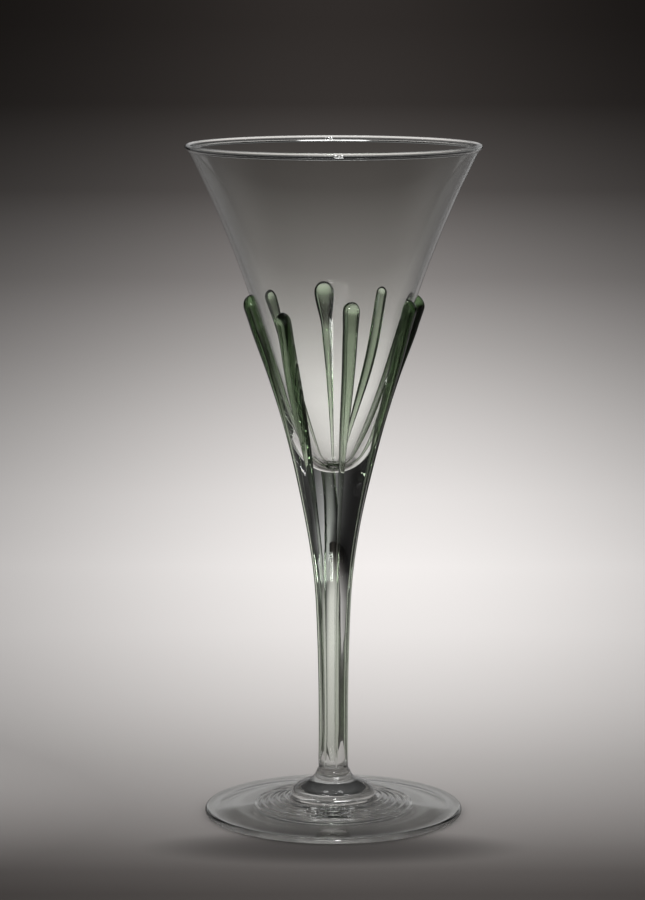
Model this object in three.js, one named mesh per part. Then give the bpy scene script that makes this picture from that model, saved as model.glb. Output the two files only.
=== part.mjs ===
import * as THREE from 'three';

// A hand-blown stemmed drinking glass: a clear trumpet bowl on a drawn stem and a wide foot,
// with eight tears of green glass that cling to the bowl and run down the stem.
// Lengths are millimetres, +Z is up, and z = 0 is the table under the middle of the foot.
// Angles are degrees about Z, 0 at the front (-Y) and growing to the right (+X).

// Heights
const seatHeight = 6.3; // flat on top of the foot, where the merese sits
const mereseHeight = 8.6;
const stemLength = 85.1;
const bowlHeight = 125; // from the joint with the stem to the top of the lip

// Clear outside of stem and bowl: a radius and a flare (radius gained per millimetre up) at each station
const stemFootRadius = 5.05;
const stemFootFlare = -0.1;
const waistRise = 14; // above the foot of the stem
const waistRadius = 4.4;
const shoulderDrop = 28; // below the joint
const shoulderRadius = 5.4;
const shoulderFlare = 0.05;
const jointRadius = 9;
const jointFlare = 0.19;
const rimRadius = 48.9;
const rimFlare = 0.52;

// Inside of the bowl
const wall = 1; // across the upper wall, measured level
const lipRadius = 0.85; // fire-polished bead round the rim
const thickenDrop = 17; // the wall gets thicker from here down, below the lip
const thickening = 5; // power at which it does
const floorWall = 5.9; // across the wall at the top of the rounded floor
const floorHeight = 17.4; // solid glass between the joint and the floor of the bowl
const floorRound = 6; // height of the rounded floor

// Merese: the button of glass that joins the stem to the foot
const mereseRadius = 13.9;
const mereseEdge = 0.7; // height of its upright edge
const domeRise = 5.2; // height that its dome would reach on the axis
const collarLip = 0.35; // how far the collar stands out past the stem
const collarWaist = 1.2; // how far the collar has spread at its bend
const collarBend = 2.6; // height of that bend below the collar's top
const collarSpread = 2.9; // how far the collar has spread where it meets the dome

// Foot
const footRadius = 43.3;
const footEdge = 2.2; // thickness of the rounded edge
const footSlope = 2.4; // power of the hollow slope from the edge up to the seat
const seatMargin = 0.4; // flat left round the merese
const rippleCount = 5; // rings left by the tool that spread the foot
const rippleWidth = 2.5;
const rippleDepth = 0.4;
const restWidth = 3; // flat ring that touches the table
const hollowRise = 1.6; // height of the hollow under the middle

// Tears
const gap = 0.25; // between a tear and the clear glass that carries it
const tearDrop = 50; // from the lip down to the tops of the tears
const tearWidth = 6;
const headLength = 11; // from the top of a tear to where its body begins
const headRounding = 0.65; // length of the rounded top, as a share of the head's width
const fullness = 3; // power of the outline across a tear; 2 is half an ellipse
const endRise = 1.2; // from the foot of the stem to the end of a streak
// The tears, tear_1 first. A drop is a share of tearDrop, and long a share of headLength. Angles go from a
// tear's top down to the joint, in equal steps, and the last holds on the stem. Widths are shares of
// tearWidth: first the head's, then from the end of the head down to the joint in equal steps, and the last
// holds on the stem. Heights are shares of the width, from the top down to the joint, the last on the stem.
const tears = [
  {
    drop: 0.984, long: 1, angles: [12, 13, 12, 12],
    widths: [0.9, 0.8, 0.66, 0.48, 0.3, 0.23], heights: [0.45, 0.65, 0.4],
  },
  {
    drop: 1, long: 1, angles: [62, 67, 65, 62],
    widths: [0.87, 0.8, 0.66, 0.48, 0.3, 0.23], heights: [0.65, 0.65, 0.4],
  },
  {
    drop: 1, long: 1, angles: [103, 103, 103, 104],
    widths: [1.05, 1, 0.67, 0.45, 0.35, 0.24], heights: [0.7, 0.7, 0.4],
  },
  {
    drop: 0.988, long: 1, angles: [143, 142, 150, 160],
    widths: [0.65, 0.64, 0.6, 0.45, 0.26, 0.23], heights: [0.45, 0.75, 0.4],
  },
  {
    drop: 0.962, long: 1.5, angles: [187, 185, 183, 181],
    widths: [1.1, 0.56, 0.39, 0.28, 0.22, 0.23], heights: [0.42, 0.9, 0.4],
  },
  {
    drop: 1, long: 1, angles: [233, 229, 225, 222],
    widths: [0.85, 0.66, 0.48, 0.32, 0.24, 0.23], heights: [0.45, 0.7, 0.4],
  },
  {
    drop: 0.988, long: 1, angles: [279, 279, 279, 278],
    widths: [1.08, 1.05, 0.68, 0.38, 0.25, 0.23], heights: [0.5, 0.5, 0.4],
  },
  {
    drop: 1.067, long: 1, angles: [322, 321, 323, 324],
    widths: [0.87, 0.8, 0.77, 0.58, 0.37, 0.23], heights: [0.55, 0.7, 0.4],
  },
];

// Fineness of the faces
const roundSteps = 48;
const stemSteps = 32;
const edgeSteps = 6;
const wallSteps = 15;
const sectionSteps = 6;
const headSteps = 6;
const bodySteps = 10;
const streakSteps = 10;

// Stations up the axis
const stemFoot = seatHeight + mereseHeight;
const joint = stemFoot + stemLength;
const lip = joint + bowlHeight;
const lipCentre = lip - lipRadius;
const clearStations = [
  { z: stemFoot, r: stemFootRadius, flare: stemFootFlare },
  { z: stemFoot + waistRise, r: waistRadius, flare: 0 },
  { z: joint - shoulderDrop, r: shoulderRadius, flare: shoulderFlare },
  { z: joint, r: jointRadius, flare: jointFlare },
  { z: lipCentre, r: rimRadius - lipRadius + wall / 2, flare: rimFlare },
];

const clearGlass = { color: 0xeef2f0, roughness: 0.03, metalness: 0, transparent: true, opacity: 0.35 };
const greenGlass = { color: 0x5f8a63, roughness: 0.04, metalness: 0, transparent: true, opacity: 0.8 };

// Numbers from 0 to 1 in equal steps, both ends included
function shares(steps) {
  return Array.from({ length: steps + 1 }, (_, i) => i / steps);
}

// Radius of the clear glass at a height, and its flare there, on a cubic between two stations
function clearAt(z) {
  const last = clearStations.length - 2;
  const found = clearStations.findIndex((station, i) => i > 0 && z <= station.z) - 1;
  const span = found < 0 ? last : found;
  const low = clearStations[span];
  const high = clearStations[span + 1];
  const rise = high.z - low.z;
  const t = (z - low.z) / rise;
  const swell = t * t * (3 - 2 * t);
  const leave = t * (1 - t) * (1 - t);
  const arrive = t * t * (t - 1);
  const r = low.r + (high.r - low.r) * swell + rise * (low.flare * leave + high.flare * arrive);
  const flare = (high.r - low.r) / rise * 6 * t * (1 - t)
    + low.flare * (1 - t) * (1 - 3 * t) + high.flare * t * (3 * t - 2);
  return { r, flare };
}

// Radius of the inside of the bowl at a height above its rounded floor
function insideAt(z) {
  const thickenFrom = lip - thickenDrop;
  const floorTop = joint + floorHeight + floorRound;
  const share = Math.max(0, (thickenFrom - z) / (thickenFrom - floorTop));
  return clearAt(z).r - wall - (floorWall - wall) * share ** thickening;
}

// A solid of revolution about Z from points [radius, height] that start and end on the axis
function turned(name, outline, steps, finish) {
  const points = outline.map(([r, z]) => new THREE.Vector2(r, z));
  const geometry = new THREE.LatheGeometry(points, steps);
  geometry.rotateX(Math.PI / 2);
  const mesh = new THREE.Mesh(geometry, new THREE.MeshStandardMaterial(finish));
  mesh.name = name;
  return mesh;
}

// Points on an arc about [r, z], from one angle to another, both in quarter turns
function arc(r, z, radius, from, to, steps) {
  return shares(steps).map((share) => {
    const turn = (from + (to - from) * share) * Math.PI / 2;
    return [r + radius * Math.cos(turn), z + radius * Math.sin(turn)];
  });
}

// Bowl: the clear outside from the joint up to the bead, the bead, and the inside down to the floor.
// The bead is centred on the wall, and swells to both sides of it.
function bowl() {
  const floor = joint + floorHeight;
  const floorTop = floor + floorRound;
  const quarter = Math.PI / 2;
  const lean = Math.atan(rimFlare);
  const neck = Math.asin(wall * Math.cos(lean) / 2 / lipRadius);
  const beadStart = (neck - lean) / quarter - 1;
  const beadEnd = 3 - (lean + neck) / quarter;
  const beadRing = rimRadius - lipRadius;
  const roundBead = (from, to, steps) => arc(beadRing, lipCentre, lipRadius, from, to, steps);
  const bead = [
    ...roundBead(beadStart, 0, edgeSteps / 2),
    ...roundBead(0, 2, edgeSteps).slice(1),
    ...roundBead(2, beadEnd, 1).slice(1),
  ];
  const [, outerNeck] = bead[0];
  const [, innerNeck] = bead[bead.length - 1];
  const outside = shares(wallSteps).slice(0, -1).map((share) => {
    const z = joint + (outerNeck - joint) * share;
    return [clearAt(z).r, z];
  });
  const inside = shares(wallSteps).slice(1).map((share) => {
    const z = innerNeck + (floorTop - innerNeck) * share;
    return [insideAt(z), z];
  });
  const edge = insideAt(floorTop);
  const slope = insideAt(floorTop + 1) - edge;
  const rounded = new THREE.QuadraticBezierCurve(
    new THREE.Vector2(edge, floorTop),
    new THREE.Vector2(edge - slope * floorRound, floor),
    new THREE.Vector2(0, floor),
  );
  const floorPoints = rounded.getPoints(edgeSteps).slice(1).map((point) => [point.x, point.y]);
  const outline = [[0, joint], ...outside, ...bead, ...inside, ...floorPoints];
  return turned('bowl', outline, roundSteps, clearGlass);
}

// Stem: drawn out solid, thinnest a little above its foot
function stem() {
  const side = shares(wallSteps).map((share) => {
    const z = stemFoot + stemLength * share;
    return [clearAt(z).r, z];
  });
  return turned('stem', [[0, stemFoot], ...side, [0, joint]], stemSteps, clearGlass);
}

// Merese: a low dome with an upright edge, and a collar that spreads from the foot of the stem
function merese() {
  const collarRadius = stemFootRadius + collarLip;
  const domeFoot = seatHeight + mereseEdge;
  const meet = stemFootRadius + collarSpread;
  const dome = (r) => domeFoot + domeRise * Math.sqrt(1 - (r / mereseRadius) ** 2);
  const domeTurn = Math.acos(meet / mereseRadius) / (Math.PI / 2);
  const side = arc(0, 0, mereseRadius, 0, domeTurn, edgeSteps).map(([r]) => [r, dome(r)]);
  const collar = new THREE.QuadraticBezierCurve(
    new THREE.Vector2(meet, dome(meet)),
    new THREE.Vector2(stemFootRadius + collarWaist, stemFoot - collarBend),
    new THREE.Vector2(collarRadius, stemFoot),
  );
  const collarPoints = collar.getPoints(edgeSteps).slice(1).map((point) => [point.x, point.y]);
  const outline = [[0, seatHeight], [mereseRadius, seatHeight], ...side, ...collarPoints, [0, stemFoot]];
  return turned('merese', outline, stemSteps, clearGlass);
}

// Foot: hollow below, a flat ring on the table, a round edge, a rippled slope and a flat seat
function foot() {
  const edgeRadius = footEdge / 2;
  const rim = footRadius - edgeRadius;
  const restInner = rim - restWidth;
  const seatRadius = mereseRadius + seatMargin;
  const rippled = rippleCount * rippleWidth;
  const topAt = (r) => {
    const share = (rim - r) / (rim - seatRadius);
    const ripple = Math.sin(Math.PI * (r - seatRadius) / rippleWidth) ** 2;
    const dip = r < seatRadius + rippled ? rippleDepth * ripple : 0;
    return footEdge + (seatHeight - footEdge) * share ** footSlope - dip;
  };
  const underside = shares(edgeSteps).map((share) => {
    const r = restInner * share;
    return [r, hollowRise * (1 - share * share)];
  });
  const edge = arc(rim, edgeRadius, edgeRadius, -1, 1, edgeSteps);
  const smooth = rim - seatRadius - rippled;
  const outer = shares(edgeSteps).slice(1, -1).map((share) => {
    const r = rim - smooth * share;
    return [r, topAt(r)];
  });
  const ripples = shares(rippleCount * 4).map((share) => {
    const r = seatRadius + rippled * (1 - share);
    return [r, topAt(r)];
  });
  const outline = [...underside, ...edge, ...outer, ...ripples, [0, seatHeight]];
  return turned('foot', outline, roundSteps, clearGlass);
}

// Value at a share of the way along a list of values in equal steps
function valueAlong(values, share) {
  const curve = new THREE.SplineCurve(values.map((value, i) => new THREE.Vector2(i, value)));
  return curve.getPoint(Math.min(1, Math.max(0, share))).y;
}

// Width and height of a tear at a drop below its own top
function tearSize({ long, widths, heights }, drop, toJoint) {
  const [headShare, ...bodyShares] = widths;
  const headEnd = headLength * long;
  const past = (drop - headEnd) / (toJoint - headEnd);
  const body = tearWidth * valueAlong(bodyShares, past);
  const proud = valueAlong(heights, drop / toJoint);
  if (drop >= headEnd) return { width: body, height: body * proud };
  const head = tearWidth * headShare;
  const round = head * headRounding;
  const share = Math.max(0, (drop - head / 2) / (headEnd - head / 2));
  const narrowed = head + (body - head) * share * share * (3 - 2 * share);
  const roundEnd = Math.sqrt(1 - (1 - Math.min(1, 2 * drop / head)) ** 2);
  const climb = Math.sqrt(1 - (1 - Math.min(1, drop / round)) ** 2);
  return { width: narrowed * roundEnd, height: gap + (narrowed * proud - gap) * climb };
}

// A sine or cosine, raised so that the outline it draws is fuller than an ellipse
function fuller(value) {
  return Math.sign(value) * Math.abs(value) ** (2 / fullness);
}

// Point on the clear glass at a height, moved round it and off it
function onClear(z, angle, across, off) {
  const { r, flare } = clearAt(z);
  const tilt = Math.hypot(1, flare);
  const radius = r + off / tilt;
  const turn = THREE.MathUtils.degToRad(angle) + across / r;
  return [radius * Math.sin(turn), -radius * Math.cos(turn), z - off * flare / tilt];
}

// Drops below a tear's top at which its section is drawn, its two ends left out
function tearDrops(headEnd, toJoint, length) {
  const head = shares(headSteps).slice(1).map((share) => headEnd * share * share);
  const body = shares(bodySteps).slice(1).map((share) => headEnd + (toJoint - headEnd) * share);
  const streak = shares(streakSteps).slice(1, -1).map((share) => toJoint + (length - toJoint) * share);
  return [...head, ...body, ...streak];
}

// Tear: domed sections with a flat that follows the clear glass at the gap, from head to streak
function tear(row, index) {
  const top = lip - tearDrop * row.drop;
  const end = stemFoot + endRise;
  const toJoint = top - joint;
  const positions = [];
  const faces = [];
  const turnAt = (z) => valueAlong(row.angles, (top - z) / toJoint);
  positions.push(...onClear(top, turnAt(top), 0, gap));
  for (const drop of tearDrops(headLength * row.long, toJoint, top - end)) {
    const { width, height } = tearSize(row, drop, toJoint);
    const z = top - drop;
    for (const share of shares(sectionSteps)) {
      const across = fuller(Math.cos(Math.PI * share)) * width / 2;
      const off = gap + (height - gap) * fuller(Math.sin(Math.PI * share));
      positions.push(...onClear(z, turnAt(z), across, off));
    }
    positions.push(...onClear(z, turnAt(z), 0, gap));
  }
  positions.push(...onClear(end, turnAt(end), 0, gap));
  const around = sectionSteps + 2;
  const rings = (positions.length / 3 - 2) / around;
  const tail = positions.length / 3 - 1;
  for (let side = 0; side < around; side += 1) {
    const next = (side + 1) % around;
    faces.push(0, 1 + next, 1 + side);
    for (let ring = 0; ring < rings - 1; ring += 1) {
      const upper = 1 + ring * around;
      const lower = upper + around;
      faces.push(upper + side, upper + next, lower + side);
      faces.push(upper + next, lower + next, lower + side);
    }
    const last = 1 + (rings - 1) * around;
    faces.push(tail, last + side, last + next);
  }
  const geometry = new THREE.BufferGeometry();
  geometry.setAttribute('position', new THREE.Float32BufferAttribute(positions, 3));
  geometry.setIndex(faces);
  geometry.computeVertexNormals();
  const mesh = new THREE.Mesh(geometry, new THREE.MeshStandardMaterial(greenGlass));
  mesh.name = `tear_${index + 1}`;
  return mesh;
}

const glass = new THREE.Group();
glass.name = 'stemmed_glass';
glass.add(foot(), merese(), stem(), bowl(), ...tears.map(tear));

export default glass;
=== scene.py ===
"""Stemmed drinking glass: a blown clear bowl, a drawn stem and a wide foot, with eight tears of green glass.

Laid out as a Blender add-on: sizes and colours are properties, each piece has an operator, and main() calls
them in order. Lengths are metres, +Z is up, and angles round the glass are degrees from the front (-Y),
growing to the right (+X).
"""

import math
from collections import namedtuple

import bpy
import numpy as np
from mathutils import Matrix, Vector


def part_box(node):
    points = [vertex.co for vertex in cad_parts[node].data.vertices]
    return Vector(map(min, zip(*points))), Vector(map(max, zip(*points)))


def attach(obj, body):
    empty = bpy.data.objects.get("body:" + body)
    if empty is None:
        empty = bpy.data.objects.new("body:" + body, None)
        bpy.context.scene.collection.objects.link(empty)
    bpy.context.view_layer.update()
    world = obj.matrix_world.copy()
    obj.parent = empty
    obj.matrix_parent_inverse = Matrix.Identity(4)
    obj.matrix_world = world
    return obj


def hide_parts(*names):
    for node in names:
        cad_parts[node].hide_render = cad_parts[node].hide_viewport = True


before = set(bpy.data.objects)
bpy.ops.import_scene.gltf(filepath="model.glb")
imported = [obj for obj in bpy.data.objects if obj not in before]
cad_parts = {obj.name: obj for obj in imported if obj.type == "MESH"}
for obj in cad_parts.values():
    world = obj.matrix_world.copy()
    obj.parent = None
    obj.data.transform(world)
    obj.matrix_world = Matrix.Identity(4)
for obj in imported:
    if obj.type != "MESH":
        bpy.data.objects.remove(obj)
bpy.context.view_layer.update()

bl_info = {
    "name": "Stemmed Glass",
    "version": (1, 0, 0),
    "blender": (4, 5, 0),
    "location": "View3D > Sidebar > Glass",
    "description": "Builds a blown drinking glass with green tears round its CAD frame",
    "category": "Add Mesh",
}

MM = 0.001
NEAR = 0.001 * MM  # places closer than this count as one
QUARTER = math.pi / 2

# Heights of the seams between the clear pieces, read from the frame
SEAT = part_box("merese")[0].z
STEM_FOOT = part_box("stem")[0].z
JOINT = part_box("bowl")[0].z
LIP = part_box("bowl")[1].z

# The eight tears. Drop is from the lip to the top, as a share of the usual drop, and head is the head's
# length as a share of the usual one. Angles go from the top down to the joint in equal steps. Widths are
# shares of the usual width: first the head's, then from the end of the head down to the joint in equal steps.
# Heights are shares of the width, from the top down to the joint in equal steps. The last of each holds for
# the stem too.
Tear = namedtuple("Tear", "name drop head angles widths heights")
TEARS = [
    Tear("tear_1", 0.984, 1, (12, 13, 12, 12), (0.9, 0.8, 0.66, 0.48, 0.3, 0.23), (0.45, 0.65, 0.4)),
    Tear("tear_2", 1, 1, (62, 67, 65, 62), (0.87, 0.8, 0.66, 0.48, 0.3, 0.23), (0.65, 0.65, 0.4)),
    Tear("tear_3", 1, 1, (103, 103, 103, 104), (1.05, 1, 0.67, 0.45, 0.35, 0.24), (0.7, 0.7, 0.4)),
    Tear("tear_4", 0.988, 1, (143, 142, 150, 160), (0.65, 0.64, 0.6, 0.45, 0.26, 0.23), (0.45, 0.75, 0.4)),
    Tear("tear_5", 0.962, 1.5, (187, 185, 183, 181), (1.1, 0.56, 0.39, 0.28, 0.22, 0.23), (0.42, 0.9, 0.4)),
    Tear("tear_6", 1, 1, (233, 229, 225, 222), (0.85, 0.66, 0.48, 0.32, 0.24, 0.23), (0.45, 0.7, 0.4)),
    Tear("tear_7", 0.988, 1, (279, 279, 279, 278), (1.08, 1.05, 0.68, 0.38, 0.25, 0.23), (0.5, 0.5, 0.4)),
    Tear("tear_8", 1.067, 1, (322, 321, 323, 324), (0.87, 0.8, 0.77, 0.58, 0.37, 0.23), (0.55, 0.7, 0.4)),
]

# Fineness of the meshes: faces round a wide and a slender piece, then points or steps along the outlines
WIDE_COLUMNS = 240
SLENDER_COLUMNS = 128
BEAD_STEPS = 36
OUTSIDE_POINTS = 150
INSIDE_POINTS = 140
FLOOR_STEPS = 28
STEM_POINTS = 120
DOME_STEPS = 32
COLLAR_STEPS = 20
HOLLOW_POINTS = 40
EDGE_STEPS = 24
SLOPE_POINTS = 180
FLOOR_SIDES = 96

# Fineness of a tear: steps over its outside and under it, then points along its head, its body and its tip
OVER_STEPS = 28
UNDER_STEPS = 8
HEAD_POINTS = 45
BODY_POINTS = 170
TIP_POINTS = 16
DROP_DIGITS = 7  # decimals of a metre to which the rings' places are rounded

# Skins of the glasses: how far a surface has to turn away for the painted shade at its sides to begin and to
# be full, from 0 face on to 1 edge on, or None where the sides have no painted shade; then the width and
# depth of the waves in millimetres, and how many times longer than wide they are
Skin = namedtuple("Skin", "sides wave_mm depth_mm stretch")
BLOWN_SKIN = Skin((0.35, 0.95), 9, 0.006, 1)
SPUN_SKIN = Skin(None, 9, 0.006, 1)
DRAWN_SKIN = Skin((0.5, 0.9), 1.6, 0.02, 30)
GREEN_SKIN = Skin((0.25, 0.72), 2.2, 0.025, 30)

# Painted light and shade of the floor, its tone by distance from its darkest place: metres, sRGB hex
PAINTED_FLOOR_LIGHT = [
    (0.1, "504C4A"), (0.125, "5E5A58"), (0.15, "74706E"), (0.2, "989492"), (0.27, "B6B2B0"), (0.37, "D6D2D0"),
    (0.5, "ECE8E6"), (0.65, "F4F0EE"), (0.85, "E8E4E2"), (1.1, "D2CECC"), (1.5, "AEAAA8"), (2, "868280"),
    (3, "565250"), (5, "363230"), (10, "302C2A"),
]
STRIP_SOFT = 0.5  # width of the soft edges of the painted lit strip that only glass shows, as a share of where they lie

# What gloss and glass see above the horizon: degrees up and brightness, dark above the last
DARK = 0.012
ROOM_TONES = [
    (0.1, 0.5), (14.6, 0.5), (16, 0.12), (26, 0.08), (34, 0.05), (44, 0.03), (48, DARK),
]

# The room fades to both sides of a middle. At the horizon the middle lies this far to the right and has this
# half width, both as sines of an angle. Per radian of height it leans to the left and widens.
ROOM_SHIFT = 0.3
ROOM_HALF_WIDTH = 0.2
ROOM_LEAN = 1.2
ROOM_WIDENING = 2.0
ROOM_EDGE = 4.0  # power by which it fades

# Rays that pass straight through the glass see the room dimmed by this share, in full from this many
# degrees up
STRAIGHT_DIMMING = 0.88
STRAIGHT_FROM = 6

# Soft boxes that only gloss and glass see: azimuth and height of the middle, half width and half height, all
# in degrees, and strength
LIGHTS = [
    (4, 19, 3, 6.5, 30.0),
    (180, 80, 12, 8, 4.0),
]
LIGHT_SOFT = 0.2  # half width of their soft edges, as a share of their half size
LIGHT_FACING = 0.05  # a box fades out where the way to it comes this close to a right angle, as a cosine

# What the camera sees behind the floor: sRGB hex at the horizon, and at this many degrees up
SKY_LOW = "32302E"
SKY_HIGH = "828080"
SKY_TOP = 30

CAMERA_REACH = 200  # metres

# Node types that are used most
MATH = "ShaderNodeMath"
VECTOR_MATH = "ShaderNodeVectorMath"
MAP_RANGE = "ShaderNodeMapRange"


# Properties


def length(name, description, millimetres):
    """A length property, given in millimetres and kept in metres"""
    return bpy.props.FloatProperty(
        name=name, description=description, default=millimetres * MM, unit="LENGTH", precision=5
    )


def ratio(name, description, default):
    return bpy.props.FloatProperty(name=name, description=description, default=default)


def angle(name, description, degrees):
    """An angle property, given in degrees and kept in radians"""
    return bpy.props.FloatProperty(
        name=name, description=description, default=math.radians(degrees), subtype="ANGLE"
    )


def colour(name, description, hex_code):
    return bpy.props.StringProperty(name=name, description=description, default=hex_code)


class ClearShape(bpy.types.PropertyGroup):
    """Sizes of the clear bowl, stem, merese and foot"""

    stem_foot_radius: length("Stem foot radius", "Radius of the stem where it meets the merese", 5.05)
    stem_foot_flare: ratio("Stem foot flare", "Radius gained per height at the foot of the stem", -0.1)
    waist_rise: length("Waist rise", "Height of the thinnest place above the foot of the stem", 14)
    waist_radius: length("Waist radius", "Radius of the stem at its thinnest", 4.4)
    shoulder_drop: length("Shoulder drop", "From the joint with the bowl down to the stem's shoulder", 28)
    shoulder_radius: length("Shoulder radius", "Radius of the stem at its shoulder", 5.4)
    shoulder_flare: ratio("Shoulder flare", "Radius gained per height at the shoulder", 0.05)
    joint_radius: length("Joint radius", "Radius where the stem becomes the bowl", 9)
    joint_flare: ratio("Joint flare", "Radius gained per height at the joint", 0.19)
    rim_radius: length("Rim radius", "Outer radius of the bowl at its lip", 48.9)
    rim_flare: ratio("Rim flare", "Radius gained per height at the lip", 0.52)
    wall: length("Wall", "Thickness of the upper wall of the bowl", 1)
    lip_radius: length("Lip radius", "Radius of the fire-polished bead round the rim", 0.85)
    thicken_drop: length("Thicken drop", "The wall gets thicker from here down, below the lip", 17)
    thickening: ratio("Thickening", "Power by which it does", 5)
    floor_wall: length("Floor wall", "Wall at the top of the rounded floor", 5.9)
    floor_height: length("Floor height", "Solid glass between the joint and the floor", 17.4)
    floor_round: length("Floor round", "Height of the rounded floor", 6)
    merese_radius: length("Merese radius", "Radius of the button under the stem", 13.9)
    merese_edge: length("Merese edge", "Height of the upright edge of the button", 0.7)
    dome_rise: length("Dome rise", "Height that the button would reach on the axis", 5.2)
    collar_lip: length("Collar lip", "How far the collar stands out past the stem", 0.35)
    collar_waist: length("Collar waist", "How far the collar has spread at its bend", 1.2)
    collar_bend: length("Collar bend", "Height of the bend below the top of the collar", 2.6)
    collar_spread: length("Collar spread", "How far the collar has spread at the button", 2.9)
    foot_radius: length("Foot radius", "Radius of the foot", 43.3)
    foot_edge: length("Foot edge", "Thickness of the rounded edge of the foot", 2.2)
    foot_slope: ratio("Foot slope", "Power of the hollow slope from the edge to the seat", 2.4)
    seat_margin: length("Seat margin", "Flat left round the merese", 0.4)
    ripple_count: bpy.props.IntProperty(
        name="Ripple count", description="Rings left by the tool that spread the foot", default=5
    )
    ripple_width: length("Ripple width", "Width of one ripple", 2.5)
    ripple_depth: length("Ripple depth", "Depth of the hollows between ripples", 0.4)
    rest_width: length("Rest width", "Width of the ring that touches the table", 3)
    hollow_rise: length("Hollow rise", "Height of the hollow under the middle of the foot", 1.6)


class TearShape(bpy.types.PropertyGroup):
    """Sizes that the eight tears share"""

    drop: length("Drop", "From the lip down to the tops of the tears", 50)
    width: length("Width", "Usual width of a head", 6)
    head_length: length("Head length", "From the top of a tear to where its body begins", 11)
    head_rounding: ratio("Head rounding", "Length of the rounded top, as a share of the head's width", 0.65)
    end_rise: length("End rise", "From the foot of the stem to the end of a streak", 1.2)
    end_taper: length("End taper", "Length over which a streak runs out", 14)
    fullness: ratio("Fullness", "Power of the outline across a tear; 2 is half an ellipse", 3)
    bite: length("Bite", "How deep a tear is fused into the clear glass", 0.02)


class GlassLooks(bpy.types.PropertyGroup):
    """Colours of the glasses"""

    clear_tint: colour("Clear tint", "Faint tint of the clear glass face on", "F9FAF8")
    # Painted shade that darkens each glass towards its sides
    blown_painted_side_shade: colour("Blown side tint", "What blown glass passes at its sides", "C0C0C2")
    drawn_painted_side_shade: colour("Drawn side tint", "What a solid rod passes at its sides", "6A6A6C")
    green_painted_side_shade: colour("Green side tint", "What a tear passes at its sides", "0A0E0B")
    green_depth: colour("Green depth", "What one path through the green leaves of white light", "738B69")
    green_path: length("Green path", "That path", 5)
    ior: ratio("Refractive index", "Refractive index of soda-lime glass", 1.52)


class StudioSetup(bpy.types.PropertyGroup):
    """Camera, floor and light"""

    camera_distance: length("Camera distance", "From the axis of the glass to the camera, level", 1122.4)
    camera_height: length("Camera height", "Height of the camera above the table", 293.9)
    camera_pitch: angle("Camera pitch", "How far the camera looks down", 8.638)
    camera_yaw: angle("Camera yaw", "How far the camera looks to the left", 0.187)
    camera_lens: bpy.props.FloatProperty(
        name="Lens", description="Focal length on a 36 mm sensor", default=136.54, unit="CAMERA"
    )
    floor_radius: length("Floor radius", "Radius of the floor", 60000)
    floor_drop: length("Floor drop", "Hair's breadth between foot and floor, so that they share no face", 0.1)
    # The floor's painted light and shade: where it is darkest, and how far it keeps its tone sideways
    painted_pool_shift: length("Pool shift", "How far in front of the glass the floor is darkest", 200)
    painted_pool_width: length("Pool width", "Half width over which the floor keeps its tone sideways", 500)
    # A soft shadow painted on the floor in front of the foot
    shadow_shift: length("Shadow shift", "How far before the glass the middle of its soft shadow lies", 46)
    painted_shadow_width: length("Shadow width", "Half width of that shadow", 66)
    painted_shadow_depth: length("Shadow depth", "Half its depth from front to back", 24)
    painted_shadow_light: ratio("Shadow light", "Light left in the middle of that shadow", 0.42)
    # Painted shade on the floor that only mirrors show
    painted_mirror_shade_depth: ratio("Flag depth", "How much darker the floor is in mirrors, as behind black card", 0.4)
    # Two crossed strips of light painted on the floor
    painted_beam_width: length("Beam width", "Half width of the lit strip of floor beside the glass", 185)
    painted_beam_spread: ratio("Beam spread", "How much wider that strip gets per length away from the glass", 0.06)
    painted_beam_shift: length("Beam shift", "How far to the right of the glass the strip lies", 20)
    painted_side_beam: ratio("Side beam", "Strength of the same strip across, from side to side", 0.8)
    painted_side_beam_in_glass: ratio("Side beam in glass", "Its strength as glass and gloss show it", 0.45)
    # A lit strip painted on the floor that only glass shows
    painted_strip_near: length("Strip near", "Where another lit strip begins that only glass shows", 900)
    painted_strip_left: ratio("Strip left", "Its left edge, sideways per length away from the glass", 0.15)
    painted_strip_right: ratio("Strip right", "Its right edge, likewise", 1.2)
    painted_strip_level: ratio("Strip level", "How light it is", 0.5)


# Small helpers


def linear(hex_code):
    """Linear RGBA of an sRGB hex colour"""
    shares = [int(hex_code[i:i + 2], 16) / 255 for i in (0, 2, 4)]
    return [s / 12.92 if s <= 0.04045 else ((s + 0.055) / 1.055) ** 2.4 for s in shares] + [1.0]


def node(tree, kind, settings=None, inputs=None):
    """Add a node with its settings. An input takes a value, an output, or a node for its first output"""
    made = tree.nodes.new(kind)
    for key, value in (settings or {}).items():
        setattr(made, key, value)
    for key, value in (inputs or {}).items():
        if isinstance(value, bpy.types.Node):
            value = value.outputs[0]
        if isinstance(value, bpy.types.NodeSocket):
            tree.links.new(value, made.inputs[key])
        else:
            made.inputs[key].default_value = value
    return made


def smooth(share):
    """Share of the way, eased at both ends"""
    share = np.clip(share, 0, 1)
    return share * share * (3 - 2 * share)


# Shape of the clear glass


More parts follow.
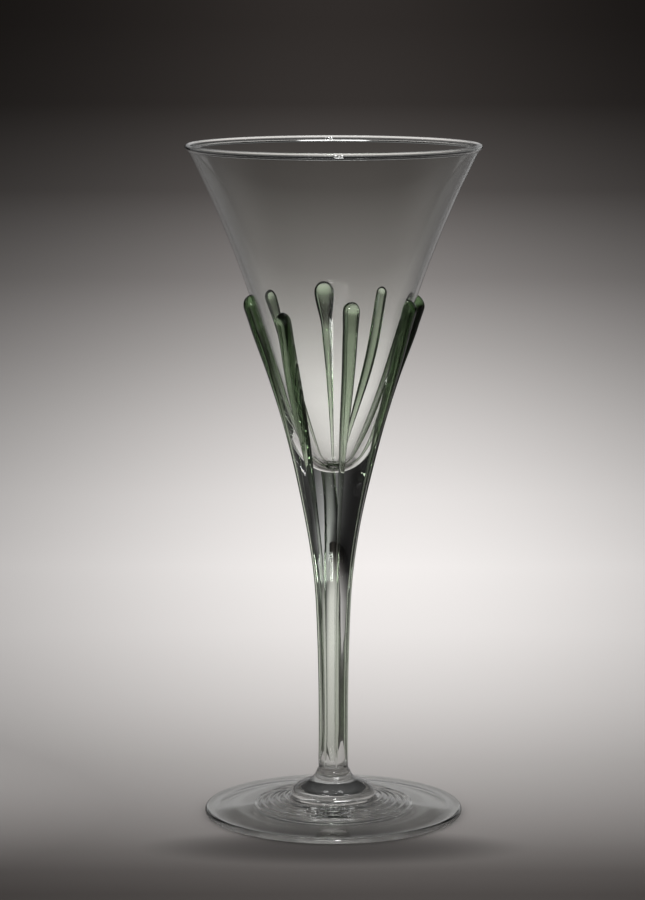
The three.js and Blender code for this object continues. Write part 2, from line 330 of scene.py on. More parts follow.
def clear_at(z):
    """Outer radius of stem and bowl at a height, and its flare there"""
    s = bpy.context.scene.clear_shape
    stations = [
        (STEM_FOOT, s.stem_foot_radius, s.stem_foot_flare),
        (STEM_FOOT + s.waist_rise, s.waist_radius, 0),
        (JOINT - s.shoulder_drop, s.shoulder_radius, s.shoulder_flare),
        (JOINT, s.joint_radius, s.joint_flare),
        (LIP - s.lip_radius, s.rim_radius - s.lip_radius + s.wall / 2, s.rim_flare),
    ]
    last = len(stations) - 2
    span = next((i for i in range(last) if z <= stations[i + 1][0]), last)
    (z0, r0, f0), (z1, r1, f1) = stations[span:span + 2]
    rise = z1 - z0
    t = (z - z0) / rise
    radius = r0 + (r1 - r0) * t * t * (3 - 2 * t) + rise * (f0 * t * (1 - t) ** 2 + f1 * t * t * (t - 1))
    flare = (r1 - r0) / rise * 6 * t * (1 - t) + f0 * (1 - t) * (1 - 3 * t) + f1 * t * (3 * t - 2)
    return radius, flare


def inside_at(z):
    """Inner radius of the bowl above its rounded floor"""
    s = bpy.context.scene.clear_shape
    thick_from = LIP - s.thicken_drop
    floor_top = JOINT + s.floor_height + s.floor_round
    share = max(0, (thick_from - z) / (thick_from - floor_top))
    return clear_at(z)[0] - s.wall - (s.floor_wall - s.wall) * share ** s.thickening


def arc(r, z, radius, start, end, steps):
    """Points on an arc about (r, z), between two angles in quarter turns"""
    turns = np.linspace(start, end, steps + 1) * math.pi / 2
    return [(r + radius * math.cos(t), z + radius * math.sin(t)) for t in turns]


def bent(p0, p1, p2, steps):
    """Points on a curve from p0 to p2 that heads for p1, the first left out"""
    return [
        tuple((1 - t) ** 2 * a + 2 * t * (1 - t) * b + t * t * c for a, b, c in zip(p0, p1, p2))
        for t in np.linspace(0, 1, steps + 1)[1:]
    ]


def make_object(name, points, faces, fused, material, sharp):
    """A smooth mesh object; fused marks the faces that are joined glass to glass, and edges of more than
    sharp degrees stay crisp"""
    mesh = bpy.data.meshes.new(name)
    mesh.from_pydata(points, [], faces)
    mesh.polygons.foreach_set("use_smooth", [True] * len(faces))
    mesh.set_sharp_from_angle(angle=math.radians(sharp))
    mark = mesh.attributes.new("fused", "FLOAT", "FACE")
    mark.data.foreach_set("value", [float(f) for f in fused])
    mesh.materials.append(material)
    mesh.validate()
    mesh.update()
    made = bpy.data.objects.new(name, mesh)
    bpy.context.scene.collection.objects.link(made)
    return made


def turned(name, outline, columns, joints, material, sharp):
    """A solid of revolution from (radius, height) points that start and end on the axis, and go up outside.
    The flat joints, given as (height, radius), are marked as fused"""
    rings = [(r, z) for r, z in outline if r > NEAR]
    low, high = outline[0][1], outline[-1][1]
    turns = np.arange(columns) * 2 * math.pi / columns
    points = [(0, 0, low)]
    for r, z in rings:
        points += [(r * math.sin(t), -r * math.cos(t), z) for t in turns]
    points.append((0, 0, high))
    faces, fused = [], []

    def add(face, *ends):
        faces.append(face)
        fused.append(any(
            all(abs(z - height) < NEAR and r <= radius + NEAR for r, z in ends) for height, radius in joints
        ))

    last = len(rings) - 1
    for c in range(columns):
        n = (c + 1) % columns
        add((0, 1 + n, 1 + c), (0, low), rings[0])
        for i in range(last):
            a, b = 1 + i * columns, 1 + (i + 1) * columns
            add((a + c, a + n, b + n, b + c), rings[i], rings[i + 1])
        top = 1 + last * columns
        add((len(points) - 1, top + c, top + n), (0, high), rings[last])
    return make_object(name, points, faces, fused, material, sharp)


def dress(piece, replaced):
    """Put a finished piece in its CAD node's place, on the body that carries it"""
    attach(piece, "root")
    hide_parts(replaced)


# Shape of the tears


def value_along(values, share):
    """Value at a share of the way along a list of values in equal steps, on a smooth curve through them"""
    last = len(values) - 1
    place = min(1, max(0, share)) * last
    i = min(int(place), last)
    t = place - i
    before, low = values[max(i - 1, 0)], values[i]
    high, after = values[min(i + 1, last)], values[min(i + 2, last)]
    leave, arrive = (high - before) / 2, (after - low) / 2
    return (2 * t ** 3 - 3 * t * t + 1) * low + (t ** 3 - 2 * t * t + t) * leave + (
        3 * t * t - 2 * t ** 3) * high + (t ** 3 - t * t) * arrive


def tear_size(tear, drop, to_joint):
    """Width and height of a tear at a drop below its own top"""
    s = bpy.context.scene.tear_shape
    proud = value_along(tear.heights, drop / to_joint)
    head_length = s.head_length * tear.head
    body = s.width * value_along(tear.widths[1:], (drop - head_length) / (to_joint - head_length))
    if drop >= head_length:
        return body, body * proud
    head = s.width * tear.widths[0]
    narrowed = head + (body - head) * smooth((drop - head / 2) / (head_length - head / 2))
    round_end = math.sqrt(1 - (1 - min(1, 2 * drop / head)) ** 2)
    climb = math.sqrt(1 - (1 - min(1, drop / (head * s.head_rounding))) ** 2)
    return narrowed * round_end, narrowed * proud * climb


def on_clear(z, turned_by, across, off):
    """Point on the clear glass at a height, moved round it and off it"""
    radius, flare = clear_at(z)
    tilt = math.hypot(1, flare)
    turn = math.radians(turned_by) + across / radius
    out = radius + off / tilt
    return out * math.sin(turn), -out * math.cos(turn), z - off * flare / tilt


def ring_drops(reach):
    """How far below a tear's top its rings lie, closer together at the head and at the tip"""
    s = bpy.context.scene.tear_shape
    head = s.head_length * np.linspace(0, 1, HEAD_POINTS)[1:] ** 2
    body = np.linspace(s.head_length, reach, BODY_POINTS)[1:-1]
    tip = reach - s.end_taper * np.linspace(1, 0, TIP_POINTS)[1:-1] ** 2
    kept = body[body < reach - s.end_taper]
    return np.unique(np.round(np.concatenate([head, kept, tip]), DROP_DIGITS))


def tear_ring(z, turned_by, width, high):
    """Points round a tear at a height: over its outside from right to left, then back under it"""
    s = bpy.context.scene.tear_shape
    ring = []
    for t in np.linspace(0, math.pi, OVER_STEPS + 1):
        across = math.copysign(abs(math.cos(t)) ** (2 / s.fullness), math.cos(t)) * width / 2
        off = (high + s.bite) * math.sin(t) ** (2 / s.fullness) - s.bite
        ring.append(on_clear(z, turned_by, across, off))
    for t in np.linspace(-1, 1, UNDER_STEPS + 1)[1:-1]:
        ring.append(on_clear(z, turned_by, t * width / 2, -s.bite))
    return ring


def make_tear(tear):
    """One green tear, from its round head on the bowl to the end of its streak on the stem"""
    s = bpy.context.scene.tear_shape
    top = LIP - s.drop * tear.drop
    end = STEM_FOOT + s.end_rise
    to_joint = top - JOINT

    def turn_at(z):
        return value_along(tear.angles, (top - z) / to_joint)

    drops = ring_drops(top - end)
    points = [on_clear(top, turn_at(top), 0, -s.bite)]
    for drop in drops:
        width, high = tear_size(tear, drop, to_joint)
        z = top - drop
        left = max(0, (z - end) / s.end_taper)
        if left < 1:
            run_out = math.sqrt(1 - (1 - left) ** 2)
            width, high = width * run_out, high * run_out
        points += tear_ring(z, turn_at(z), width, high)
    points.append(on_clear(end, turn_at(end), 0, -s.bite))
    around = OVER_STEPS + UNDER_STEPS
    faces, fused = [], []
    rings = len(drops)
    last = len(points) - 1
    for c in range(around):
        n = (c + 1) % around
        faces.append((0, 1 + n, 1 + c))
        for i in range(rings - 1):
            a, b = 1 + i * around, 1 + (i + 1) * around
            faces.append((a + c, a + n, b + n, b + c))
        a = 1 + (rings - 1) * around
        faces.append((last, a + c, a + n))
        fused += [c >= OVER_STEPS] * (rings + 1)
    made = make_object(tear.name + "_glass", points, faces, fused, green_glass(), sharp=50)
    dress(made, tear.name)


# Materials of the glass


def glass_surface(tree, tint, side, skin):
    """Polished glass with waves in its skin; it passes one tint face on and may have painted shade at its
    sides
    """
    looks = bpy.context.scene.glass_looks
    place = node(
        tree, VECTOR_MATH, {"operation": "MULTIPLY"},
        {0: node(tree, "ShaderNodeTexCoord").outputs["Object"], 1: (1.0, 1.0, 1 / skin.stretch)},
    )
    waves = node(
        tree, "ShaderNodeTexNoise", inputs={"Vector": place, "Scale": 1 / (skin.wave_mm * MM), "Detail": 1.0}
    ).outputs["Fac"]
    bump = node(tree, "ShaderNodeBump", inputs={"Height": waves, "Distance": skin.depth_mm * MM})
    shader = node(tree, "ShaderNodeBsdfPrincipled", inputs={
        "Base Color": linear(tint), "Roughness": 0.0, "IOR": looks.ior, "Transmission Weight": 1.0,
        "Normal": bump,
    })
    # Painted shade: towards its sides the glass passes a darker colour, by how far the surface turns from the
    # view
    if skin.sides:
        glance = node(tree, "ShaderNodeLayerWeight", inputs={"Blend": 0.5}).outputs["Facing"]
        share = node(
            tree, MAP_RANGE, {"interpolation_type": "SMOOTHSTEP"},
            {"Value": glance, "From Min": skin.sides[0], "From Max": skin.sides[1]},
        )
        passed = node(
            tree, "ShaderNodeMix", {"data_type": "RGBA"}, {"Factor": share, 6: linear(tint), 7: linear(side)}
        ).outputs[2]
        tree.links.new(passed, shader.inputs["Base Color"])
    return shader


def new_material(name):
    made = bpy.data.materials.new(name)
    made.use_nodes = True
    made.node_tree.nodes.clear()
    return made, made.node_tree


def absorption(tree, depth, path):
    """Volume that leaves the colour depth of white light after a path"""
    lost = [-math.log(kept) / path for kept in linear(depth)[:3]]
    density = max(lost)
    return node(
        tree, "ShaderNodeVolumeAbsorption",
        inputs={"Color": [1 - v / density for v in lost] + [1.0], "Density": density},
    )


def clear_glass(name, side, skin):
    """Clear glass that lets light straight through the flat joints, which are marked as fused"""
    if name in bpy.data.materials:
        return bpy.data.materials[name]
    looks = bpy.context.scene.glass_looks
    made, tree = new_material(name)
    polished = glass_surface(tree, looks.clear_tint, side, skin)
    fused = node(tree, "ShaderNodeAttribute", {"attribute_name": "fused"}).outputs["Fac"]
    through = node(tree, "ShaderNodeBsdfTransparent")
    surface = node(tree, "ShaderNodeMixShader", inputs={"Fac": fused, 1: polished, 2: through})
    node(tree, "ShaderNodeOutputMaterial", inputs={"Surface": surface})
    return made


def blown_glass():
    """Soda-lime glass, blown and fire-polished: colourless, wet gloss, slow waves, with painted shade at its
    sides
    """
    return clear_glass("clear_blown_glass", bpy.context.scene.glass_looks.blown_painted_side_shade, BLOWN_SKIN)


def spun_glass():
    """The same glass, spun out into the thin foot, which is as clear at its sides as face on"""
    return clear_glass("clear_spun_glass", None, SPUN_SKIN)


def drawn_glass():
    """The same glass, drawn out hot into a solid rod: painted shade darkens it towards its sides, with fine
    cords along it
    """
    return clear_glass("clear_drawn_glass", bpy.context.scene.glass_looks.drawn_painted_side_shade, DRAWN_SKIN)


def green_glass():
    """Soda-lime glass coloured with iron and chromium, trailed on hot: clear green face on, and near black at
    its sides by painted shade"""
    if "green_trailed_glass" in bpy.data.materials:
        return bpy.data.materials["green_trailed_glass"]
    looks = bpy.context.scene.glass_looks
    made, tree = new_material("green_trailed_glass")
    polished = glass_surface(tree, "FFFFFF", looks.green_painted_side_shade, GREEN_SKIN)
    fused = node(tree, "ShaderNodeAttribute", {"attribute_name": "fused"}).outputs["Fac"]
    joined = node(tree, "ShaderNodeBsdfRefraction", inputs={"Roughness": 0.0, "IOR": looks.ior})
    surface = node(tree, "ShaderNodeMixShader", inputs={"Fac": fused, 1: polished, 2: joined})
    depth = absorption(tree, looks.green_depth, looks.green_path)
    node(tree, "ShaderNodeOutputMaterial", inputs={"Surface": surface, "Volume": depth})
    return made


# Material of the floor


def painted_floor_light(tree, away):
    """Painted light and shade of the sweep, its colour by the distance from its darkest place"""
    first, last = math.log10(PAINTED_FLOOR_LIGHT[0][0]), math.log10(PAINTED_FLOOR_LIGHT[-1][0])
    decades = node(tree, MATH, {"operation": "LOGARITHM"}, {0: away, 1: 10.0})
    share = node(tree, MAP_RANGE, inputs={"Value": decades, "From Min": first, "From Max": last})
    ramp = node(tree, "ShaderNodeValToRGB", inputs={"Fac": share})
    stops = ramp.color_ramp.elements
    stops.remove(stops[0])
    stops[0].position = 0.0
    for i, (distance, tone) in enumerate(PAINTED_FLOOR_LIGHT):
        at = (math.log10(distance) - first) / (last - first)
        stop = stops[0] if i == 0 else stops.new(at)
        stop.color = linear(tone)
    return ramp


def darkest_distance(tree, x, y):
    """Distance from the darkest place of the floor's painted shade, a strip from side to side in front of the
    glass
    """
    s = bpy.context.scene.studio_setup
    square = node(tree, MATH, {"operation": "POWER"}, {0: x, 1: 2.0})
    widened = node(tree, MATH, {"operation": "ADD"}, {0: square, 1: s.painted_pool_width ** 2})
    slant = node(tree, MATH, {"operation": "SQRT"}, {0: widened})
    aside = node(tree, MATH, {"operation": "SUBTRACT"}, {0: slant, 1: s.painted_pool_width})
    behind = node(tree, MATH, {"operation": "ADD"}, {0: y, 1: s.painted_pool_shift})
    place = node(tree, "ShaderNodeCombineXYZ", inputs={"X": aside, "Y": behind})
    return node(tree, VECTOR_MATH, {"operation": "LENGTH"}, {0: place}).outputs["Value"]


def painted_foot_shadow(tree, x, y):
    """Share of light that the painted soft shadow in front of the foot leaves"""
    s = bpy.context.scene.studio_setup
    across = node(tree, MATH, {"operation": "DIVIDE"}, {0: x, 1: s.painted_shadow_width})
    across = node(tree, MATH, {"operation": "POWER"}, {0: across, 1: 2.0})
    along = node(tree, MATH, {"operation": "ADD"}, {0: y, 1: s.shadow_shift})
    along = node(tree, MATH, {"operation": "DIVIDE"}, {0: along, 1: s.painted_shadow_depth})
    along = node(tree, MATH, {"operation": "POWER"}, {0: along, 1: 2.0})
    off_middle = node(tree, MATH, {"operation": "ADD"}, {0: across, 1: along})
    return node(
        tree, MAP_RANGE, {"interpolation_type": "SMOOTHSTEP"},
        {"Value": off_middle, "From Max": 1.0, "To Min": s.painted_shadow_light, "To Max": 1.0},
    )


def painted_crossed_beams(tree, x, y, ray):
    """Share of painted light by two crossed lit strips that fade sideways; glass and gloss show the one
    across weaker
    """
    s = bpy.context.scene.studio_setup
    shifted = node(tree, MATH, {"operation": "SUBTRACT"}, {0: x, 1: s.painted_beam_shift})
    aside = node(tree, MATH, {"operation": "ABSOLUTE"}, {0: shifted})
    ahead = node(tree, MATH, {"operation": "ABSOLUTE"}, {0: y})
    beams = []
    for across, along in ((aside, ahead), (ahead, aside)):
        spread = node(tree, MATH, {"operation": "MULTIPLY"}, {0: along, 1: s.painted_beam_spread})
        half = node(tree, MATH, {"operation": "ADD"}, {0: spread, 1: s.painted_beam_width})
        off_middle = node(tree, MATH, {"operation": "DIVIDE"}, {0: across, 1: half})
        off_middle = node(tree, MATH, {"operation": "POWER"}, {0: off_middle, 1: 2.0})
        fade = node(tree, MATH, {"operation": "ADD"}, {0: off_middle, 1: 1.0})
        beams.append(node(tree, MATH, {"operation": "DIVIDE"}, {0: 1.0, 1: fade}))
    in_glass = node(
        tree, MATH, {"operation": "MAXIMUM"},
        {0: ray.outputs["Is Glossy Ray"], 1: ray.outputs["Is Transmission Ray"]},
    )
    weaker = node(tree, MATH, {"operation": "MULTIPLY"}, {0: in_glass, 1: s.painted_side_beam - s.painted_side_beam_in_glass})
    strength = node(tree, MATH, {"operation": "SUBTRACT"}, {0: s.painted_side_beam, 1: weaker})
    painted_side_beam = node(tree, MATH, {"operation": "MULTIPLY"}, {0: beams[1], 1: strength})
    return node(tree, MATH, {"operation": "MAXIMUM"}, {0: beams[0], 1: painted_side_beam})


def painted_mirror_shade(tree, ray):
    """Share of light left in mirrors: painted shade makes the floor darker there, as if black card stood
    beside it
    """
    s = bpy.context.scene.studio_setup
    mirrored = node(
        tree, MATH, {"operation": "SUBTRACT", "use_clamp": True},
        {0: ray.outputs["Is Glossy Ray"], 1: ray.outputs["Is Transmission Ray"]},
    )
    lost = node(tree, MATH, {"operation": "MULTIPLY"}, {0: mirrored, 1: s.painted_mirror_shade_depth})
    return node(tree, MATH, {"operation": "SUBTRACT"}, {0: 1.0, 1: lost})


def painted_glass_strip(tree, away, x, y, ray):
    """Level of the painted lit strip to the right behind the glass, which only glass shows"""
    s = bpy.context.scene.studio_setup
    sideways = node(tree, MATH, {"operation": "DIVIDE"}, {0: x, 1: y})
    strip = ray.outputs["Is Transmission Ray"]
    for value, start, end in (
        (away, s.painted_strip_near, (1 + STRIP_SOFT) * s.painted_strip_near),
        (sideways, s.painted_strip_left, (1 + STRIP_SOFT) * s.painted_strip_left),
        (sideways, s.painted_strip_right, (1 - STRIP_SOFT) * s.painted_strip_right),
        (y, 0.0, s.painted_strip_near),
    ):
        edge = node(
            tree, MAP_RANGE, {"interpolation_type": "SMOOTHSTEP"},
            {"Value": value, "From Min": start, "From Max": end},
        )
        strip = node(tree, MATH, {"operation": "MULTIPLY"}, {0: strip, 1: edge})
    return node(tree, MATH, {"operation": "MULTIPLY"}, {0: strip, 1: s.painted_strip_level})


def studio_floor():
    """Matt paper sweep whose colour holds painted light and shade: pale behind the glass, and darker close to
    it and far away
    """
    made, tree = new_material("matt_paper_sweep")
    parts = node(tree, "ShaderNodeSeparateXYZ", inputs={
        "Vector": node(tree, "ShaderNodeNewGeometry").outputs["Position"]
    })
    x, y = parts.outputs["X"], parts.outputs["Y"]
    ray = node(tree, "ShaderNodeLightPath")
    # The floor's colour carries painted light and shade: a painted soft shadow, painted shade that only
    # mirrors show, painted beams of light, and a painted lit strip that only glass shows
    away = darkest_distance(tree, x, y)
    shadow = painted_foot_shadow(tree, x, y)
    shadow = node(tree, MATH, {"operation": "MULTIPLY"}, {0: shadow, 1: painted_mirror_shade(tree, ray)})
    level = node(tree, MATH, {"operation": "MULTIPLY"}, {0: shadow, 1: painted_crossed_beams(tree, x, y, ray)})
    tone = node(tree, VECTOR_MATH, {"operation": "SCALE"}, {0: painted_floor_light(tree, away), "Scale": level})
    tone = node(
        tree, VECTOR_MATH, {"operation": "MAXIMUM"}, {0: tone, 1: painted_glass_strip(tree, away, x, y, ray)}
    )
    surface = node(tree, "ShaderNodeBsdfPrincipled", inputs={
        "Base Color": tone, "Roughness": 1.0, "Specular IOR Level": 0.0
    })
    node(tree, "ShaderNodeOutputMaterial", inputs={"Surface": surface})
    return made


# World


def room_glow(tree, height, x, ray):
    """Light of the dim room by height; it fades sideways, and is dimmer straight through the glass"""
    share = node(tree, MAP_RANGE, inputs={"Value": height, "From Max": QUARTER})
    room = node(tree, "ShaderNodeValToRGB", inputs={"Fac": share})
    stops = room.color_ramp.elements
    stops[0].color = (ROOM_TONES[0][1],) * 3 + (1.0,)
    stops[1].color = (DARK, DARK, DARK, 1.0)
    for degrees, level in ROOM_TONES:
        stops.new(degrees / 90).color = (level, level, level, 1.0)
    spread = node(
        tree, MATH, {"operation": "MULTIPLY_ADD"}, {0: height, 1: ROOM_WIDENING, 2: ROOM_HALF_WIDTH}
    )
    lean = node(tree, MATH, {"operation": "MULTIPLY_ADD"}, {0: height, 1: ROOM_LEAN, 2: -ROOM_SHIFT})
    aside = node(tree, MATH, {"operation": "ADD"}, {0: x, 1: lean})
    off_middle = node(tree, MATH, {"operation": "DIVIDE"}, {0: aside, 1: spread})
    off_middle = node(tree, MATH, {"operation": "POWER"}, {0: off_middle, 1: ROOM_EDGE})
    fade = node(tree, MATH, {"operation": "ADD"}, {0: off_middle, 1: 1.0})
    fade = node(tree, MATH, {"operation": "DIVIDE"}, {0: 1.0, 1: fade})
    dimming = node(
        tree, MAP_RANGE, {"interpolation_type": "SMOOTHSTEP"},
        {"Value": height, "From Max": math.radians(STRAIGHT_FROM), "To Max": STRAIGHT_DIMMING},
    )
    straight = node(
        tree, MATH, {"operation": "SUBTRACT", "use_clamp": True},
        {0: ray.outputs["Is Transmission Ray"], 1: ray.outputs["Glossy Depth"]},
    )
    hidden = node(tree, MATH, {"operation": "MULTIPLY"}, {0: dimming, 1: straight})
    shown = node(tree, MATH, {"operation": "SUBTRACT"}, {0: 1.0, 1: hidden})
    kept = node(tree, MATH, {"operation": "MULTIPLY"}, {0: fade, 1: shown})
    return node(tree, VECTOR_MATH, {"operation": "SCALE"}, {0: room.outputs["Color"], "Scale": kept})


def with_soft_box(tree, glow, way, azimuth, up, half_wide, half_high, strength):
    """The glow with one soft box added: its middle and half sizes are in degrees"""
    a, e = math.radians(azimuth), math.radians(up)
    out = (math.sin(a) * math.cos(e), -math.cos(a) * math.cos(e), math.sin(e))
    side = (math.cos(a), math.sin(a), 0.0)
    over = (-math.sin(a) * math.sin(e), math.cos(a) * math.sin(e), math.cos(e))
    ahead, across, along = (
        node(tree, VECTOR_MATH, {"operation": "DOT_PRODUCT"}, {0: way, 1: axis}).outputs["Value"]
        for axis in (out, side, over)
    )
    lit = node(tree, MAP_RANGE, inputs={"Value": ahead, "From Max": LIGHT_FACING})
    for offset, half in ((across, half_wide), (along, half_high)):
        slope = node(tree, MATH, {"operation": "DIVIDE"}, {0: offset, 1: ahead})
        size = node(tree, MATH, {"operation": "ABSOLUTE"}, {0: slope})
        limit = math.tan(math.radians(half))
        mask = node(tree, MAP_RANGE, {"interpolation_type": "SMOOTHSTEP"}, {
            "Value": size, "From Min": limit * (1 - LIGHT_SOFT), "From Max": limit * (1 + LIGHT_SOFT),
            "To Min": 1.0, "To Max": 0.0,
        })
        lit = node(tree, MATH, {"operation": "MULTIPLY"}, {0: lit, 1: mask})
    lit = node(tree, MATH, {"operation": "MULTIPLY"}, {0: lit, 1: strength})
    return node(tree, VECTOR_MATH, {"operation": "ADD"}, {0: glow, 1: lit})


def studio_world():
    """Even white light for the floor, a dim room with soft boxes for glass, and a grey sky for the camera"""
    world = bpy.data.worlds.new("studio_light")
    bpy.context.scene.world = world
    world.use_nodes = True
    tree = world.node_tree
    tree.nodes.clear()
    way = node(tree, "ShaderNodeTexCoord").outputs["Generated"]
    parts = node(tree, "ShaderNodeSeparateXYZ", inputs={"Vector": way})
    height = node(tree, MATH, {"operation": "ARCSINE"}, {0: parts.outputs["Z"]})
    ray = node(tree, "ShaderNodeLightPath")
    glow = room_glow(tree, height, parts.outputs["X"], ray)
    for light in LIGHTS:
        glow = with_soft_box(tree, glow, way, *light)
    share = node(tree, MAP_RANGE, inputs={"Value": height, "From Max": math.radians(SKY_TOP)})
    sky = node(tree, "ShaderNodeValToRGB", inputs={"Fac": share})
    sky.color_ramp.elements[0].color = linear(SKY_LOW)
    sky.color_ramp.elements[1].color = linear(SKY_HIGH)
    seen = node(
        tree, MATH, {"operation": "MAXIMUM"},
        {0: ray.outputs["Is Glossy Ray"], 1: ray.outputs["Is Transmission Ray"]},
    )
    seen = node(
        tree, MATH, {"operation": "SUBTRACT", "use_clamp": True}, {0: seen, 1: ray.outputs["Diffuse Depth"]}
    )
    bare = node(
        tree, "ShaderNodeMix", {"data_type": "RGBA"},
        {"Factor": ray.outputs["Is Camera Ray"], 6: linear("FFFFFF"), 7: sky.outputs["Color"]},
    ).outputs[2]
    mixed = node(tree, "ShaderNodeMix", {"data_type": "RGBA"}, {"Factor": seen, 6: bare, 7: glow}).outputs[2]
    light = node(tree, "ShaderNodeBackground", inputs={"Color": mixed, "Strength": 1.0})
    node(tree, "ShaderNodeOutputWorld", inputs={"Surface": light})


# Operators


class GLASS_OT_stage(bpy.types.Operator):
    """Set up the camera, the pale floor and the soft studio light"""

    bl_idname = "glass.stage"
    bl_label = "Stage"

    def execute(self, context):
        s = context.scene.studio_setup
        lens = bpy.data.cameras.new("camera")
        lens.lens = s.camera_lens
        lens.clip_end = CAMERA_REACH
        camera = bpy.data.objects.new("camera", lens)
        camera.location = (0, -s.camera_distance, s.camera_height)
        camera.rotation_euler = (QUARTER - s.camera_pitch, 0, s.camera_yaw)
        context.scene.collection.objects.link(camera)
        context.scene.camera = camera
        turns = [i * 2 * math.pi / FLOOR_SIDES for i in range(FLOOR_SIDES)]
        corners = [
            (s.floor_radius * math.cos(t), s.floor_radius * math.sin(t), -s.floor_drop) for t in turns
        ]
        mesh = bpy.data.meshes.new("floor")
        mesh.from_pydata(corners, [], [tuple(range(FLOOR_SIDES))])
        mesh.materials.append(studio_floor())
        floor = bpy.data.objects.new("floor", mesh)
        context.scene.collection.objects.link(floor)
        studio_world()
        context.scene.view_settings.view_transform = "Standard"
        cycles = context.scene.cycles
        cycles.max_bounces = 32
        cycles.transmission_bounces = 32
        cycles.glossy_bounces = 16
        return {"FINISHED"}


class GLASS_OT_bowl(bpy.types.Operator):
    """Make the clear blown bowl"""

    bl_idname = "glass.bowl"
    bl_label = "Bowl"

    def execute(self, context):
        s = context.scene.clear_shape
        lip_centre = LIP - s.lip_radius
        floor = JOINT + s.floor_height
        floor_top = floor + s.floor_round
        tilt = math.atan(s.rim_flare)
        neck = math.asin(s.wall * math.cos(tilt) / 2 / s.lip_radius)
        bead = arc(
            s.rim_radius - s.lip_radius, lip_centre, s.lip_radius,
            (neck - tilt) / QUARTER - 1, 3 - (tilt + neck) / QUARTER, BEAD_STEPS
        )
        outside = [(clear_at(z)[0], z) for z in np.linspace(JOINT, bead[0][1], OUTSIDE_POINTS)[:-1]]
        inside = [(inside_at(z), z) for z in np.linspace(bead[-1][1], floor_top, INSIDE_POINTS)[1:]]
        edge = inside_at(floor_top)
        slope = (inside_at(floor_top + MM) - edge) / MM
        rounded = bent((edge, floor_top), (edge - slope * s.floor_round, floor), (0, floor), FLOOR_STEPS)
        outline = [(0, JOINT), *outside, *bead, *inside, *rounded]
        joints = [(JOINT, s.joint_radius)]
        bowl = turned("bowl_glass", outline, WIDE_COLUMNS, joints, blown_glass(), sharp=60)
        dress(bowl, "bowl")
        return {"FINISHED"}


class GLASS_OT_stem(bpy.types.Operator):
    """Make the drawn stem"""

    bl_idname = "glass.stem"
    bl_label = "Stem"

    def execute(self, context):
        s = context.scene.clear_shape
        side = [(clear_at(z)[0], z) for z in np.linspace(STEM_FOOT, JOINT, STEM_POINTS)]
        outline = [(0, STEM_FOOT), *side, (0, JOINT)]
        joints = [(STEM_FOOT, s.stem_foot_radius), (JOINT, s.joint_radius)]
        stem = turned("stem_glass", outline, SLENDER_COLUMNS, joints, drawn_glass(), sharp=40)
        dress(stem, "stem")
        return {"FINISHED"}


class GLASS_OT_merese(bpy.types.Operator):
    """Make the merese, the button between stem and foot"""

    bl_idname = "glass.merese"
    bl_label = "Merese"

    def execute(self, context):
        s = context.scene.clear_shape
        dome_foot = SEAT + s.merese_edge
        collar = s.stem_foot_radius + s.collar_lip
        meet = s.stem_foot_radius + s.collar_spread

        def dome(r):
            return dome_foot + s.dome_rise * math.sqrt(max(0, 1 - (r / s.merese_radius) ** 2))

        turn = math.acos(meet / s.merese_radius) / QUARTER
        side = [(r, dome(r)) for r, _ in arc(0, 0, s.merese_radius, 0, turn, DOME_STEPS)]
        bend = (s.stem_foot_radius + s.collar_waist, STEM_FOOT - s.collar_bend)
        rise = bent((meet, dome(meet)), bend, (collar, STEM_FOOT), COLLAR_STEPS)
        flat = [(s.stem_foot_radius, STEM_FOOT)]
        outline = [(0, SEAT), (s.merese_radius, SEAT), *side, *rise, *flat, (0, STEM_FOOT)]
        joints = [(SEAT, s.merese_radius), (STEM_FOOT, s.stem_foot_radius)]
        merese = turned("merese_glass", outline, SLENDER_COLUMNS, joints, blown_glass(), sharp=35)
        dress(merese, "merese")
        return {"FINISHED"}


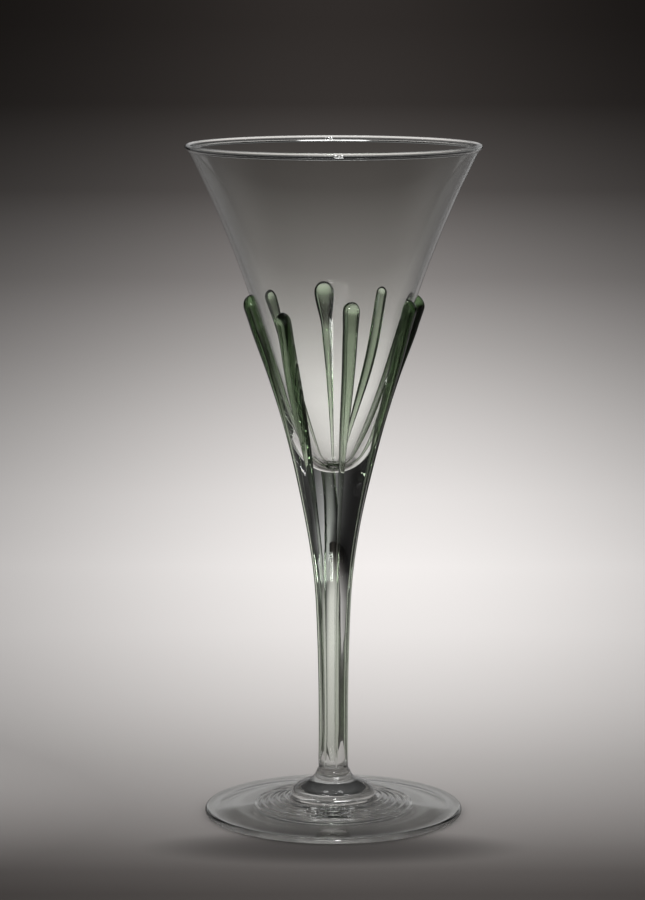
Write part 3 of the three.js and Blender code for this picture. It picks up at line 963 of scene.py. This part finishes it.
class GLASS_OT_foot(bpy.types.Operator):
    """Make the wide foot"""

    bl_idname = "glass.foot"
    bl_label = "Foot"

    def execute(self, context):
        s = context.scene.clear_shape
        edge = s.foot_edge / 2
        rim = s.foot_radius - edge
        rest_inner = rim - s.rest_width
        seat_radius = s.merese_radius + s.seat_margin
        rippled = s.ripple_count * s.ripple_width

        def top_at(r):
            share = (rim - r) / (rim - seat_radius)
            ripple = math.sin(math.pi * (r - seat_radius) / s.ripple_width) ** 2
            dip = s.ripple_depth * ripple if r < seat_radius + rippled else 0
            return s.foot_edge + (SEAT - s.foot_edge) * share ** s.foot_slope - dip

        under = [(rest_inner * t, s.hollow_rise * (1 - t * t)) for t in np.linspace(0, 1, HOLLOW_POINTS)]
        round_edge = arc(rim, edge, edge, -1, 1, EDGE_STEPS)
        slope = [(r, top_at(r)) for r in np.linspace(rim, seat_radius, SLOPE_POINTS)[1:]]
        outline = [*under, *round_edge, *slope, (s.merese_radius, SEAT), (0, SEAT)]
        joints = [(SEAT, s.merese_radius)]
        foot = turned("foot_glass", outline, WIDE_COLUMNS, joints, spun_glass(), sharp=60)
        dress(foot, "foot")
        return {"FINISHED"}


class GLASS_OT_tears(bpy.types.Operator):
    """Make the eight green tears"""

    bl_idname = "glass.tears"
    bl_label = "Tears"

    def execute(self, context):
        for tear in TEARS:
            make_tear(tear)
        return {"FINISHED"}


class GLASS_PT_panel(bpy.types.Panel):
    """Lists the operators in the order in which they run"""

    bl_idname = "GLASS_PT_panel"
    bl_label = "Stemmed Glass"
    bl_space_type = "VIEW_3D"
    bl_region_type = "UI"
    bl_category = "Glass"

    def draw(self, context):
        for operator in OPERATORS:
            self.layout.operator(operator.bl_idname)


OPERATORS = (GLASS_OT_stage, GLASS_OT_bowl, GLASS_OT_stem, GLASS_OT_merese, GLASS_OT_foot, GLASS_OT_tears)
GROUPS = {
    "clear_shape": ClearShape,
    "tear_shape": TearShape,
    "glass_looks": GlassLooks,
    "studio_setup": StudioSetup,
}
CLASSES = (*GROUPS.values(), *OPERATORS, GLASS_PT_panel)


def register():
    for made in CLASSES:
        bpy.utils.register_class(made)
    for name, group in GROUPS.items():
        setattr(bpy.types.Scene, name, bpy.props.PointerProperty(type=group))


def unregister():
    for name in GROUPS:
        delattr(bpy.types.Scene, name)
    for made in reversed(CLASSES):
        bpy.utils.unregister_class(made)


def main():
    register()
    bpy.ops.glass.stage()
    bpy.ops.glass.bowl()
    bpy.ops.glass.stem()
    bpy.ops.glass.merese()
    bpy.ops.glass.foot()
    bpy.ops.glass.tears()


if __name__ == "__main__":
    main()
